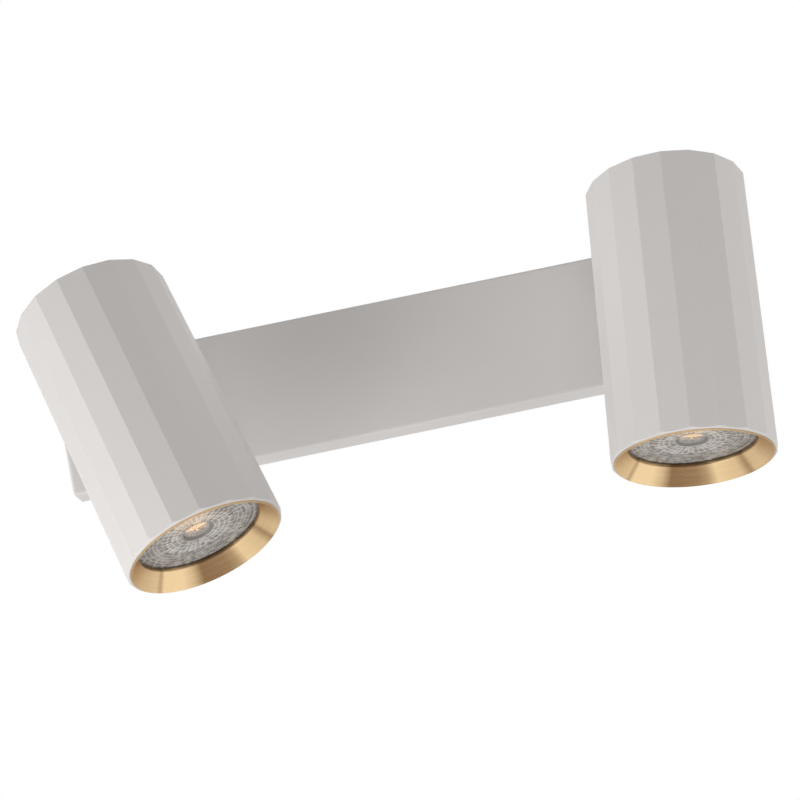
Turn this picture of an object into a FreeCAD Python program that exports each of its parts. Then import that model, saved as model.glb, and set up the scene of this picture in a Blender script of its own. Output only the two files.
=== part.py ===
import FreeCAD, Part
import math
import operator
import os
import Sketcher
from FreeCAD import Placement, Rotation, Vector

# A wall light: one long shallow canopy that carries two facetted spot heads, each on an arm that
# swivels on the canopy and tilts in a slot of the head. Millimetres and degrees.
# +X runs along the canopy, +Z is up, the wall is the plane y = 0 and the room is towards -Y.
# The origin is the middle of the wall face.

SIZES = {
    # canopy: a folded steel pan, open at the back
    "canopy_length": 278,
    "canopy_height": 53.4,
    "canopy_depth": 15,
    "canopy_wall": 1.2,
    "canopy_edge_radius": 1.3,
    # wall bracket: a steel strap with a bent tab at each end
    "bracket_height": 30,
    "bracket_gauge": 1.5,
    "bracket_tab_width": 18,
    "bracket_tab_reach": 11,
    "wall_slot_spacing": 120,
    "wall_slot_length": 14,
    "wall_slot_width": 5,
    "cable_hole_radius": 8,
    "grommet_flange_radius": 10.5,
    "grommet_flange_thickness": 1.8,
    "cable_bore_radius": 4,
    # terminal block, earth screw and their places on the bracket
    "block_place": 36,
    "block_length": 26,
    "block_width": 17,
    "block_height": 9.5,
    "pole_pitch": 8,
    "pole_bore_radius": 1.7,
    "clamp_screw_radius": 1.6,
    "clamp_screw_row": 4.6,
    "earth_place": 26,
    "earth_drop": 9,
    "earth_tag_radius": 4.2,
    "earth_tag_gauge": 0.8,
    "earth_tag_tail": 11,
    # screws by their nominal sizes
    "small_screw_radius": 1.5,
    "small_head_radius": 2.7,
    "small_head_height": 1.7,
    "large_screw_radius": 2,
    "large_head_radius": 3.8,
    "large_head_height": 2.5,
    "end_screw_length": 8,
    "socket_radius": 1.1,
    "socket_depth": 1.8,
    # clearances
    "fit_gap": 0.3,
    "running_gap": 0.05,
    "face_gap": 0.1,
    # swivel: arm, washers, stop and nut
    "swivel_inset": 35,
    "spigot_radius": 5,
    "spigot_length": 7.2,
    "flange_radius": 11,
    "flange_thickness": 2.2,
    "post_radius": 6,
    "arm_bore_radius": 3,
    "washer_radius": 9.5,
    "washer_thickness": 0.8,
    "stop_washer_thickness": 1,
    "stop_reach": 12.2,
    "stop_tab_width": 2.4,
    "stop_pin_radius": 1,
    "stop_pin_height": 3.2,
    "spring_washer_thickness": 1.5,
    "spring_washer_split": 1.2,
    "lock_nut_across": 14,
    "lock_nut_height": 3,
    # tilt pivot
    "pivot_height": 40,
    "pivot_room": 9,
    "pivot_offset": 12,
    "knuckle_radius": 5,
    "tongue_thickness": 6,
    "tongue_start": 7,
    "tilt_washer_thickness": 0.5,
    "ear_gauge": 1.5,
    "tilt_nut_across": 7,
    "tilt_nut_height": 4,
    # facetted head tube
    "head_length": 109,
    "facet_radius": 30,
    "mouth_bevel": 0.8,
    "front_bore_radius": 28.4,
    "rear_bore_radius": 27.4,
    "cap_seat_radius": 28.5,
    "cap_seat_depth": 3,
    "cap_thickness": 2.5,
    "cap_screw_place": 20,
    "disc_gauge": 1.5,
    "lead_hole_radius": 5,
    # trim ring in the mouth
    "ring_lip_radius": 28.8,
    "ring_lip_height": 0.6,
    "ring_cone_radius": 28.3,
    "ring_throat_radius": 23.25,
    "ring_cone_depth": 5.4,
    "ring_depth": 6.4,
    # reflector lamp
    "lamp_radius": 25,
    "lamp_face_depth": 6.8,
    "lens_radius": 24.2,
    "lens_thickness": 2.5,
    "lamp_bowl_depth": 24,
    "lamp_base_depth": 54,
    "lamp_base_radius": 13.2,
    "lamp_shoulder": 4,
    "lamp_collar_height": 16,
    "lamp_collar_step": 2,
    "lens_ledge": 1.8,
    "lens_dish": 1.2,
    "lens_land": 0.6,
    "lens_step": 0.2,
    "lens_ring_radius": 13.6,
    "collimator_wall": 1.4,
    "collimator_room": 4,
    "chip_radius": 5,
    "chip_thickness": 1,
    "pin_spacing": 10,
    "pin_radius": 1.5,
    "pin_head_radius": 2.5,
    "pin_neck": 4.5,
    "pin_head": 2.5,
    # lamp holder
    "holder_radius": 14.5,
    "holder_height": 12.3,
    "holder_gap": 0.2,
    "holder_skin": 3.5,
    "holder_screw_place": 9.5,
    # leads
    "lead_radius": 0.9,
    "lead_tail": 9,
    "lead_sweep": 17,
    "lead_pitch": 3,
    # photographed pose: swing of each mouth from straight down, and tilt of each head from the wall
    "left_swing": 15.3,
    "left_tilt": 13.75,
    "right_swing": -8.8,
    "right_tilt": 10,
}
FACETS = 18
HEXAGON = 6
# how much of its shorter neighbour run each bend of a lead takes up
BEND_SHARE = 0.45

doc = FreeCAD.newDocument("twin_spotlight")
sheet = doc.addObject("Spreadsheet::Sheet", "sizes")
for row, (alias, value) in enumerate(SIZES.items(), start=1):
    sheet.set(f"A{row}", alias)
    sheet.set(f"B{row}", str(value))
    sheet.setAlias(f"B{row}", alias)
doc.recompute()


# ---------------------------------------------------------------- lengths that stay bound to the sheet
class Size:
    """A length of the sheet, or a sum or share of such lengths: its number and its expression."""

    def __init__(self, value, text):
        self.value = float(value)
        self.text = text

    def __float__(self):
        return self.value

    def __add__(self, other):
        return combined(operator.add, "+", self, other)

    def __radd__(self, other):
        return combined(operator.add, "+", other, self)

    def __sub__(self, other):
        return combined(operator.sub, "-", self, other)

    def __rsub__(self, other):
        return combined(operator.sub, "-", other, self)

    def __mul__(self, other):
        return combined(operator.mul, "*", self, other)

    def __rmul__(self, other):
        return combined(operator.mul, "*", other, self)

    def __truediv__(self, other):
        return combined(operator.truediv, "/", self, other)

    def __neg__(self):
        return combined(operator.sub, "-", 0, self)


def as_size(length):
    return length if isinstance(length, Size) else Size(length, repr(length))


def combined(operation, sign, left, right):
    left, right = as_size(left), as_size(right)
    return Size(operation(left.value, right.value), f"({left.text} {sign} {right.text})")


def size(alias):
    return Size(sheet.get(alias), f"sizes.{alias}")


# ---------------------------------------------------------------- bodies, sketches and features
def new_body(label):
    body = doc.addObject("PartDesign::Body", label)
    body.Label = label
    body.AllowCompound = True
    return body


def origin_plane(body, role):
    return next(item for item in body.Origin.OriginFeatures if item.Role == role)


def new_sketch(body, name, role="XY_Plane", lift=0, shift=0, rise=0):
    """A sketch on one of the body's own planes, lifted along its normal and shifted within it."""
    sketch = body.newObject("Sketcher::SketchObject", f"{body.Name}_{name}")
    sketch.AttachmentSupport = [(origin_plane(body, role), "")]
    sketch.MapMode = "FlatFace"
    for axis, length in (("x", shift), ("y", rise), ("z", lift)):
        if isinstance(length, Size) or length:
            sketch.setExpression(f"AttachmentOffset.Base.{axis}", as_size(length).text)
    return sketch


def bind_constraint(sketch, constraint, length):
    index = sketch.addConstraint(constraint)
    sketch.setExpression(f"Constraints[{index}]", as_size(length).text)


def fix_point(sketch, line, end, place):
    """Hold one point of the sketch at its two bound distances from the sketch's origin."""
    for kind, length in zip(("DistanceX", "DistanceY"), place):
        number = float(as_size(length))
        bind_constraint(sketch, Sketcher.Constraint(kind, -1, 1, line, end, number), length)


def draw_outline(sketch, corners):
    """A closed outline of straight lines through the corners."""
    places = [Vector(float(as_size(x)), float(as_size(y)), 0) for x, y in corners]
    first = sketch.GeometryCount
    count = len(places)
    for i in range(count):
        sketch.addGeometry(Part.LineSegment(places[i], places[(i + 1) % count]), False)
    for i in range(count):
        sketch.addConstraint(Sketcher.Constraint("Coincident", first + i, 2, first + (i + 1) % count, 1))
    for i, corner in enumerate(corners):
        fix_point(sketch, first + i, 1, corner)


def draw_box(sketch, low_x, low_y, high_x, high_y):
    draw_outline(sketch, [(low_x, low_y), (high_x, low_y), (high_x, high_y), (low_x, high_y)])


def draw_circle(sketch, radius, place=(0, 0)):
    number = float(as_size(radius))
    centre = Vector(float(as_size(place[0])), float(as_size(place[1])), 0)
    circle = sketch.addGeometry(Part.Circle(centre, Vector(0, 0, 1), number), False)
    bind_constraint(sketch, Sketcher.Constraint("Radius", circle, number), radius)
    fix_point(sketch, circle, 3, place)


def draw_slot(sketch, start, end, radius):
    """A slot along the sketch's X between two end centres: two half circles and two tangent lines."""
    number = float(as_size(radius))
    left = Vector(float(as_size(start[0])), float(as_size(start[1])), 0)
    right = Vector(float(as_size(end[0])), float(as_size(end[1])), 0)
    up = Vector(0, number, 0)
    half, quarter = math.pi, math.pi / 2
    first = sketch.GeometryCount
    sketch.addGeometry(Part.ArcOfCircle(Part.Circle(left, Vector(0, 0, 1), number), quarter, half + quarter))
    sketch.addGeometry(Part.LineSegment(left - up, right - up), False)
    sketch.addGeometry(Part.ArcOfCircle(Part.Circle(right, Vector(0, 0, 1), number), -quarter, quarter))
    sketch.addGeometry(Part.LineSegment(right + up, left + up), False)
    for i in range(4):
        sketch.addConstraint(Sketcher.Constraint("Tangent", first + i, 2, first + (i + 1) % 4, 1))
    sketch.addConstraint(Sketcher.Constraint("Equal", first, first + 2))
    bind_constraint(sketch, Sketcher.Constraint("Radius", first, number), radius)
    fix_point(sketch, first, 3, start)
    fix_point(sketch, first + 2, 3, end)


def draw_polygon(sketch, count, radius, turn):
    """A regular polygon whose corners lie on a construction circle; its first side stands upright."""
    number = float(as_size(radius))
    step = 2 * math.pi / count
    corners = []
    for i in range(count):
        angle = math.radians(turn) + i * step
        corners.append(Vector(number * math.cos(angle), number * math.sin(angle), 0))
    first = sketch.GeometryCount
    for i in range(count):
        sketch.addGeometry(Part.LineSegment(corners[i], corners[(i + 1) % count]), False)
    circle = sketch.addGeometry(Part.Circle(Vector(0, 0, 0), Vector(0, 0, 1), number), True)
    sketch.addConstraint(Sketcher.Constraint("Coincident", circle, 3, -1, 1))
    bind_constraint(sketch, Sketcher.Constraint("Radius", circle, number), radius)
    for i in range(count):
        sketch.addConstraint(Sketcher.Constraint("Coincident", first + i, 2, first + (i + 1) % count, 1))
        sketch.addConstraint(Sketcher.Constraint("PointOnObject", first + i, 1, circle))
        if i:
            sketch.addConstraint(Sketcher.Constraint("Equal", first, first + i))
    sketch.addConstraint(Sketcher.Constraint("Vertical", first))


def pad(body, sketch, length, both_ways=False):
    feature = body.newObject("PartDesign::Pad", f"{sketch.Name}_pad")
    feature.Profile = sketch
    feature.setExpression("Length", as_size(length).text)
    if both_ways:
        feature.SideType = "Symmetric"
    return feature


def pocket(body, sketch, length, forward=True, both_ways=False):
    """Cut along the sketch's normal, or against it, for the given depth."""
    feature = body.newObject("PartDesign::Pocket", f"{sketch.Name}_pocket")
    feature.Profile = sketch
    feature.setExpression("Length", as_size(length).text)
    feature.Reversed = forward
    if both_ways:
        feature.SideType = "Symmetric"
    return feature


def revolve(body, sketch, kind="PartDesign::Revolution"):
    feature = body.newObject(kind, f"{sketch.Name}_turned")
    feature.Profile = sketch
    feature.ReferenceAxis = (sketch, ["V_Axis"])
    feature.Angle = 360
    return feature


def mirror(body, feature, role):
    """A second solid, or a second cut, on the other side of one of the body's planes."""
    copy = body.newObject("PartDesign::Mirrored", f"{feature.Name}_mirrored")
    copy.Originals = [feature]
    copy.MirrorPlane = (origin_plane(body, role), [""])
    body.Tip = copy
    return copy


def turned(label, corners):
    """A piece turned about its own Z from half of its section."""
    body = new_body(label)
    sketch = new_sketch(body, "section", "XZ_Plane")
    draw_outline(sketch, corners)
    revolve(body, sketch)
    return body


def ring(label, outer, inner, thickness, lift=0):
    """A flat ring that lies on its own XY plane, or at the given height over it."""
    body = new_body(label)
    sketch = new_sketch(body, "outline", lift=lift)
    draw_circle(sketch, outer)
    draw_circle(sketch, inner)
    pad(body, sketch, thickness)
    return body


def screw_section(radius, head_radius, head_height, length):
    """Half of a pan-head screw's section: its head stands on z = 0 and its shank hangs below."""
    point = radius / 3
    crown = head_height / 2
    return [
        (0, -length),
        (radius - point, -length),
        (radius, point - length),
        (radius, 0),
        (head_radius, 0),
        (head_radius, crown),
        (head_radius - crown, head_height),
        (0, head_height),
    ]


# ---------------------------------------------------------------- places of the pieces
SIDES = {"left": -1, "right": 1}


def on_wall(place_x=0, place_z=0, out=0):
    """A piece that is drawn looking at the wall: its X is along the canopy, its Y up, its Z outwards."""
    place = Vector(float(as_size(place_x)), -float(as_size(out)), float(as_size(place_z)))
    return Placement(place, Rotation(Vector(1, 0, 0), 90))


def swivel_reach():
    """How far each swivel is from the middle of the canopy."""
    return size("canopy_length") / 2 - size("swivel_inset")


def disc_depth():
    """Depth of the inner bracket's disc behind the mouth: the lamp and its holder stand in front of it."""
    return size("lamp_base_depth") + size("holder_gap") + size("holder_height")


def pivot_depth():
    """Depth of the tilt pivot behind the mouth."""
    return disc_depth() + size("disc_gauge") + size("pivot_room")


def swivel_place(side, out):
    """On a swivel's axis: X towards the side of the head's mouth, Z outwards from the wall."""
    swing = float(size(f"{side}_swing"))
    middle = on_wall(SIDES[side] * swivel_reach(), 0, out)
    return Placement(middle.Base, middle.Rotation.multiply(Rotation(Vector(0, 0, 1), swing - 90)))


def head_place(side):
    """A head's own frame: the middle of the mouth, Z into the head, X towards the arm's slot."""
    swing = math.radians(float(size(f"{side}_swing")))
    tilt = math.radians(float(size(f"{side}_tilt")))
    along = Vector(math.sin(swing), 0, -math.cos(swing))
    outwards = Vector(0, -1, 0)
    beam = along * math.cos(tilt) + outwards * math.sin(tilt)
    slot = along * math.sin(tilt) - outwards * math.cos(tilt)
    pivot = swivel_place(side, size("canopy_depth") + size("pivot_height")).Base
    mouth = pivot - slot * float(size("pivot_offset")) + beam * float(pivot_depth())
    return Placement(mouth, Rotation(slot, slot.cross(beam), -beam, "XYZ"))


def pivot_place(side):
    """A tilt pivot's own frame: on the pivot, Z along its bolt."""
    head = head_place(side)
    shift = Placement(
        Vector(float(size("pivot_offset")), 0, float(pivot_depth())),
        Rotation(Vector(1, 0, 0), -90),
    )
    return head.multiply(shift)


# ---------------------------------------------------------------- canopy and what is fixed to the wall
def make_canopy():
    """The pan: its outer block, rounded on the front, hollowed from the back and drilled."""
    body = new_body("canopy")
    length, height = size("canopy_length"), size("canopy_height")
    depth, wall = size("canopy_depth"), size("canopy_wall")
    outline = new_sketch(body, "outline")
    draw_box(outline, -length / 2, -height / 2, length / 2, height / 2)
    block = pad(body, outline, depth)
    doc.recompute()
    rounded = body.newObject("PartDesign::Fillet", "canopy_rounding")
    back_edges = [edge for edge in block.Shape.Edges if edge.BoundBox.ZMax < 0.001]
    names = [
        f"Edge{number}"
        for number, edge in enumerate(block.Shape.Edges, start=1)
        if not any(edge.isSame(back) for back in back_edges)
    ]
    rounded.Base = (block, names)
    rounded.setExpression("Radius", size("canopy_edge_radius").text)
    inside = new_sketch(body, "inside")
    draw_box(inside, wall - length / 2, wall - height / 2, length / 2 - wall, height / 2 - wall)
    pocket(body, inside, depth - wall)
    swivels = new_sketch(body, "swivel_holes")
    for sign in SIDES.values():
        draw_circle(swivels, size("spigot_radius") + size("running_gap"), (sign * swivel_reach(), 0))
    pocket(body, swivels, depth)
    ends = new_sketch(body, "end_holes", "YZ_Plane", rise=end_screw_out())
    draw_circle(ends, size("large_screw_radius") + size("running_gap"))
    pocket(body, ends, length, both_ways=True)
    body.Placement = on_wall()
    return body


def end_screw_out():
    """How far from the wall the end screws sit: the middle of the bracket's tab."""
    return (size("bracket_gauge") + size("bracket_tab_reach")) / 2


def bracket_half_length():
    return size("canopy_length") / 2 - size("canopy_wall") - size("fit_gap")


def make_wall_bracket():
    """The strap on the wall: slots for the wall screws, the cable's hole and a tab at each end."""
    body = new_body("wall_bracket")
    half, gauge = bracket_half_length(), size("bracket_gauge")
    strap = new_sketch(body, "strap")
    draw_box(strap, -half, -size("bracket_height") / 2, half, size("bracket_height") / 2)
    pad(body, strap, gauge)
    tabs = new_sketch(body, "tabs")
    tab = size("bracket_tab_width") / 2
    draw_box(tabs, -half, -tab, gauge - half, tab)
    draw_box(tabs, half - gauge, -tab, half, tab)
    pad(body, tabs, size("bracket_tab_reach"))
    holes = new_sketch(body, "holes")
    reach = (size("wall_slot_length") - size("wall_slot_width")) / 2
    for sign in SIDES.values():
        middle = sign * size("wall_slot_spacing") / 2
        draw_slot(holes, (middle - reach, 0), (middle + reach, 0), size("wall_slot_width") / 2)
        draw_circle(
            holes,
            size("small_screw_radius") + size("running_gap"),
            (size("block_place"), sign * size("pole_pitch") / 2),
        )
    draw_circle(holes, size("cable_hole_radius"))
    draw_circle(
        holes,
        size("large_screw_radius") + size("running_gap"),
        (-size("earth_place"), -size("earth_drop")),
    )
    pocket(body, holes, gauge)
    ends = new_sketch(body, "end_holes", "YZ_Plane", rise=end_screw_out())
    draw_circle(ends, size("large_screw_radius") + size("running_gap"))
    pocket(body, ends, 2 * half, both_ways=True)
    body.Placement = on_wall()
    return body


def make_canopy_screws():
    """Two socket set screws, level with the canopy's ends, in threaded holes in the bracket's tabs."""
    body = new_body("canopy_screws")
    radius, length = size("large_screw_radius"), size("end_screw_length")
    socket, depth = size("socket_radius"), size("socket_depth")
    section = new_sketch(body, "section", "XZ_Plane", rise=size("canopy_length") / 2)
    draw_outline(
        section,
        [(0, -length), (radius, -length), (radius, 0), (socket, 0), (socket, -depth), (0, -depth)],
    )
    mirror(body, revolve(body, section), "XY_Plane")
    body.Placement = Placement(Vector(0, -float(end_screw_out()), 0), Rotation(Vector(0, 1, 0), 90))
    return body


def make_cable_grommet():
    """A rubber bush in the bracket's cable hole, with its flange on the canopy's side."""
    gauge, bore = size("bracket_gauge"), size("cable_bore_radius")
    top = gauge + size("grommet_flange_thickness")
    round_over = size("grommet_flange_thickness") / 3
    body = turned(
        "cable_grommet",
        [
            (bore, 0),
            (size("cable_hole_radius"), 0),
            (size("cable_hole_radius"), gauge),
            (size("grommet_flange_radius"), gauge),
            (size("grommet_flange_radius"), top - round_over),
            (size("grommet_flange_radius") - round_over, top),
            (bore + round_over, top),
            (bore, top - round_over),
        ],
    )
    body.Placement = on_wall()
    return body


def make_terminal_block():
    """A three-pole block: through bores for the leads, a well over each clamp and two fixing holes."""
    body = new_body("terminal_block")
    width, length, height = size("block_width"), size("block_length"), size("block_height")
    outline = new_sketch(body, "outline")
    draw_box(outline, -width / 2, -length / 2, width / 2, length / 2)
    pad(body, outline, height)
    bores = new_sketch(body, "bores", "YZ_Plane")
    for pole in (-1, 0, 1):
        draw_circle(bores, size("pole_bore_radius"), (pole * size("pole_pitch"), pole_out()))
    pocket(body, bores, width, both_ways=True)
    wells = new_sketch(body, "wells", lift=pole_out())
    draw_clamps(wells, size("clamp_screw_radius") + size("running_gap"))
    pocket(body, wells, height - pole_out())
    fixings = new_sketch(body, "fixings")
    for sign in SIDES.values():
        draw_circle(
            fixings,
            size("small_screw_radius") + size("running_gap"),
            (0, sign * size("pole_pitch") / 2),
        )
    pocket(body, fixings, height)
    body.Placement = on_wall(size("block_place"), 0, size("bracket_gauge"))
    return body


def pole_out():
    """Height of the block's bores over its foot."""
    return size("block_height") * 2 / 5


def draw_clamps(sketch, radius):
    for pole in (-1, 0, 1):
        for sign in SIDES.values():
            draw_circle(sketch, radius, (sign * size("clamp_screw_row"), pole * size("pole_pitch")))


def make_terminal_screws():
    """Six clamp screws, each standing on its lead or on the floor of its bore."""
    body = new_body("terminal_screws")
    shanks = new_sketch(body, "shanks", lift=pole_out() + size("lead_radius"))
    draw_clamps(shanks, size("clamp_screw_radius"))
    pad(body, shanks, size("block_height") - pole_out() - size("lead_radius") - size("fit_gap"))
    body.Placement = on_wall(size("block_place"), 0, size("bracket_gauge"))
    return body


def make_block_screws():
    """Two screws that hold the terminal block on the bracket."""
    body = new_body("block_screws")
    shanks = new_sketch(body, "shanks")
    heads = new_sketch(body, "heads", lift=size("bracket_gauge") + size("block_height"))
    for sign in SIDES.values():
        place = (0, sign * size("pole_pitch") / 2)
        draw_circle(shanks, size("small_screw_radius"), place)
        draw_circle(heads, size("small_head_radius"), place)
    pad(body, shanks, size("bracket_gauge") + size("block_height"))
    pad(body, heads, size("small_head_height"))
    body.Placement = on_wall(size("block_place"), 0, 0)
    return body


def make_earth_tag():
    """A ring tag under the earth screw, with a tail that the earth lead is crimped to."""
    body = new_body("earth_tag")
    half = size("earth_tag_radius") / 2
    plate = new_sketch(body, "ring")
    draw_circle(plate, size("earth_tag_radius"))
    pad(body, plate, size("earth_tag_gauge"))
    tail = new_sketch(body, "tail")
    draw_box(tail, 0, -half, size("earth_tag_tail"), half)
    pad(body, tail, size("earth_tag_gauge"))
    hole = new_sketch(body, "hole")
    draw_circle(hole, size("large_screw_radius") + size("running_gap"))
    pocket(body, hole, size("earth_tag_gauge"))
    body.Placement = on_wall(-size("earth_place"), -size("earth_drop"), size("bracket_gauge"))
    return body


def make_earth_screw():
    """The earth screw, whose tip stays inside the bracket so that it clears the wall."""
    seat = size("bracket_gauge") + size("earth_tag_gauge")
    body = turned(
        "earth_screw",
        screw_section(
            size("large_screw_radius"),
            size("large_head_radius"),
            size("large_head_height"),
            seat - size("face_gap"),
        ),
    )
    body.Placement = on_wall(-size("earth_place"), -size("earth_drop"), seat)
    return body


def make_stop_pins():
    """Two studs on the canopy's inner face, one above each swivel, that its stop tab meets."""
    body = new_body("stop_pins")
    face = size("canopy_depth") - size("canopy_wall")
    studs = new_sketch(body, "studs", lift=face - size("stop_pin_height"))
    for sign in SIDES.values():
        draw_circle(studs, size("stop_pin_radius"), (sign * swivel_reach(), size("stop_reach")))
    pad(body, studs, size("stop_pin_height"))
    body.Placement = on_wall()
    return body


# ---------------------------------------------------------------- leads
def disc_across(place, direction):
    """A lead's round section at a place, square to its direction."""
    return Part.Face(Part.Wire(Part.Circle(place, direction, float(size("lead_radius"))).toShape()))


def round_lead(points):
    """A round lead: straight runs joined by tangent arcs, each as large as its two runs allow."""
    stretches = []
    start = points[0]
    for i in range(1, len(points) - 1):
        back, ahead = points[i - 1] - points[i], points[i + 1] - points[i]
        reach = BEND_SHARE * min(back.Length, ahead.Length)
        back.normalize()
        ahead.normalize()
        enter = points[i] + back * reach
        half_turn = (math.pi - back.getAngle(ahead)) / 2
        radius = reach / math.tan(half_turn)
        centre = points[i] + (back + ahead).normalize() * (radius / math.cos(half_turn))
        axis = (enter - centre).cross(-back)
        stretches.append(disc_across(start, -back).extrude(enter - start))
        stretches.append(disc_across(enter, -back).revolve(centre, axis, math.degrees(2 * half_turn)))
        start = points[i] + ahead * reach
    end = points[-1]
    stretches.append(disc_across(start, end - start).extrude(end - start))
    return stretches[0].multiFuse(stretches[1:])


def make_leads(label, routes, placement):
    """One insulated lead along each route."""
    leads = [round_lead(points) for points in routes]
    piece = doc.addObject("Part::Feature", label)
    piece.Label = label
    piece.Shape = leads[0] if len(leads) == 1 else Part.makeCompound(leads)
    piece.Placement = placement
    return piece


def make_supply_leads(side):
    """Live and neutral from the terminal block to the bore of one arm, past the cable grommet."""
    sign = SIDES[side]
    block_face = float(size("block_place")) + sign * float(size("block_width")) / 2
    start = block_face - sign * float(size("fit_gap"))
    axis = sign * float(swivel_reach())
    pole = float(size("bracket_gauge") + pole_out())
    spigot_end = float(spigot_tip())
    low = float(size("bracket_gauge") + size("lead_radius") + size("fit_gap"))
    apart = float(size("lead_radius") + size("face_gap"))
    tail, sweep = float(size("lead_tail")), float(size("lead_sweep"))
    beside_grommet = size("grommet_flange_radius") + size("lead_radius") + size("fit_gap")
    lane = float(beside_grommet + size("lead_pitch") / 2)
    routes = []
    for step, place in ((1, float(size("pole_pitch"))), (-1, 0.0)):
        middle = lane + step * float(size("lead_pitch")) / 2
        routes.append([
            Vector(start, place, pole),
            Vector(block_face + sign * tail, place, pole),
            Vector(block_face + sign * sweep, middle, (pole + low) / 2),
            Vector(axis - sign * sweep, middle, low),
            Vector(axis - sign * tail, step * apart, low),
            Vector(axis, step * apart, low),
            Vector(axis, step * apart, spigot_end),
        ])
    return make_leads(f"supply_leads_{side}", routes, on_wall())


def make_earth_lead():
    """The earth lead from the block's third pole to the ring tag's tail."""
    pole = float(size("bracket_gauge") + pole_out())
    start = float(size("block_place")) - float(size("block_width")) / 2 + float(size("fit_gap"))
    drop = float(size("earth_drop"))
    tail = float(size("earth_tag_tail")) - float(size("earth_place"))
    over_tag = float(size("bracket_gauge") + size("earth_tag_gauge") + size("lead_radius"))
    over_grommet = float(
        size("bracket_gauge") + size("grommet_flange_thickness") + 2 * size("lead_radius") + size("fit_gap")
    )
    bow, crimp = float(size("lead_pitch")), float(size("earth_tag_radius"))
    routes = [[
        Vector(start, -float(size("pole_pitch")), pole),
        Vector(start - float(size("lead_tail")), -float(size("pole_pitch")), pole),
        Vector(bow, -drop - bow, over_grommet),
        Vector(tail + crimp, -drop, over_tag + float(size("fit_gap"))),
        Vector(tail - crimp, -drop, over_tag),
    ]]
    return make_leads("earth_lead", routes, on_wall())


# ---------------------------------------------------------------- swivel
def spigot_tip():
    """How far from the wall the arm's threaded spigot ends."""
    return size("canopy_depth") - size("canopy_wall") - size("spigot_length")


def make_outer_washer(side):
    """A nylon washer on the canopy's front, under the arm's flange."""
    body = ring(
        f"{side}_outer_washer",
        size("washer_radius"),
        size("spigot_radius") + size("running_gap"),
        size("washer_thickness"),
    )
    body.Placement = swivel_place(side, size("canopy_depth"))
    return body


def make_swivel_arm(side):
    """Turned in one piece: hollow threaded spigot, flange and post, with a flat tongue at the pivot."""
    body = new_body(f"{side}_swivel_arm")
    seat = size("canopy_depth") + size("washer_thickness") + size("face_gap")
    pivot = size("canopy_depth") + size("pivot_height")
    shoulder = pivot - size("tongue_start")
    bore, spigot, post = size("arm_bore_radius"), size("spigot_radius"), size("post_radius")
    flange, thickness = size("flange_radius"), size("flange_thickness")
    bore_end = pivot - size("tongue_start") - size("post_radius") / 3
    bevel = thickness / 4
    section = new_sketch(body, "section", "XZ_Plane")
    draw_outline(
        section,
        [
            (bore, spigot_tip()),
            (spigot, spigot_tip()),
            (spigot, seat),
            (flange, seat),
            (flange, seat + thickness - bevel),
            (flange - bevel, seat + thickness),
            (post, seat + thickness),
            (post, shoulder - bevel),
            (post - bevel, shoulder),
            (0, shoulder),
            (0, bore_end),
            (bore, bore_end),
        ],
    )
    revolve(body, section)
    knuckle = size("knuckle_radius")
    tongue = new_sketch(body, "tongue", "XZ_Plane")
    draw_box(tongue, -knuckle, shoulder, knuckle, pivot)
    pad(body, tongue, size("tongue_thickness"), both_ways=True)
    eye = new_sketch(body, "eye", "XZ_Plane")
    draw_circle(eye, knuckle, (0, pivot))
    pad(body, eye, size("tongue_thickness"), both_ways=True)
    hole = new_sketch(body, "pivot_hole", "XZ_Plane")
    draw_circle(hole, size("large_screw_radius") + size("running_gap"), (0, pivot))
    pocket(body, hole, size("tongue_thickness"), both_ways=True)
    window = new_sketch(body, "lead_window", "YZ_Plane")
    half = bore - size("fit_gap")
    draw_box(window, -half, bore_end - 2 * bore, half, bore_end)
    pocket(body, window, post)
    body.Placement = swivel_place(side, 0)
    return body


def stack_height(level):
    """Distance from the wall to the top of each piece of the friction stack inside the canopy."""
    top = size("canopy_depth") - size("canopy_wall") - size("face_gap")
    order = ["washer_thickness", "stop_washer_thickness", "spring_washer_thickness", "lock_nut_height"]
    for alias in order[:level]:
        top = top - size(alias)
    return top


def make_inner_washer(side):
    """A nylon washer against the canopy's inner face."""
    body = ring(
        f"{side}_inner_washer",
        size("washer_radius"),
        size("spigot_radius") + size("running_gap"),
        size("washer_thickness"),
        lift=stack_height(1),
    )
    body.Placement = swivel_place(side, 0)
    return body


def make_stop_washer(side):
    """A steel washer that turns with the arm; its tab meets the canopy's stud near each end of a turn."""
    body = new_body(f"{side}_stop_washer")
    disc = new_sketch(body, "disc", lift=stack_height(2))
    draw_circle(disc, size("washer_radius"))
    pad(body, disc, size("stop_washer_thickness"))
    tab = new_sketch(body, "tab", lift=stack_height(2))
    half = size("stop_tab_width") / 2
    draw_box(tab, 0, -half, size("stop_reach") + size("stop_pin_radius"), half)
    pad(body, tab, size("stop_washer_thickness"))
    hole = new_sketch(body, "hole", lift=stack_height(2))
    draw_circle(hole, size("spigot_radius") + size("running_gap"))
    pocket(body, hole, size("stop_washer_thickness"))
    body.Placement = swivel_place(side, 0)
    return body


def make_spring_washer(side):
    """A split spring washer that keeps the friction of the swivel."""
    body = new_body(f"{side}_spring_washer")
    washer = new_sketch(body, "washer", lift=stack_height(3))
    draw_circle(washer, (size("washer_radius") + size("spigot_radius")) / 2 + size("fit_gap"))
    draw_circle(washer, size("spigot_radius") + size("running_gap"))
    pad(body, washer, size("spring_washer_thickness"))
    split = new_sketch(body, "split", lift=stack_height(3))
    half = size("spring_washer_split") / 2
    draw_box(split, -size("washer_radius"), -half, 0, half)
    pocket(body, split, size("spring_washer_thickness"))
    body.Placement = swivel_place(side, 0)
    return body


def hex_corner(across):
    """Radius to the corners of a hexagon from the distance across its flats."""
    return across / math.sqrt(3)


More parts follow.
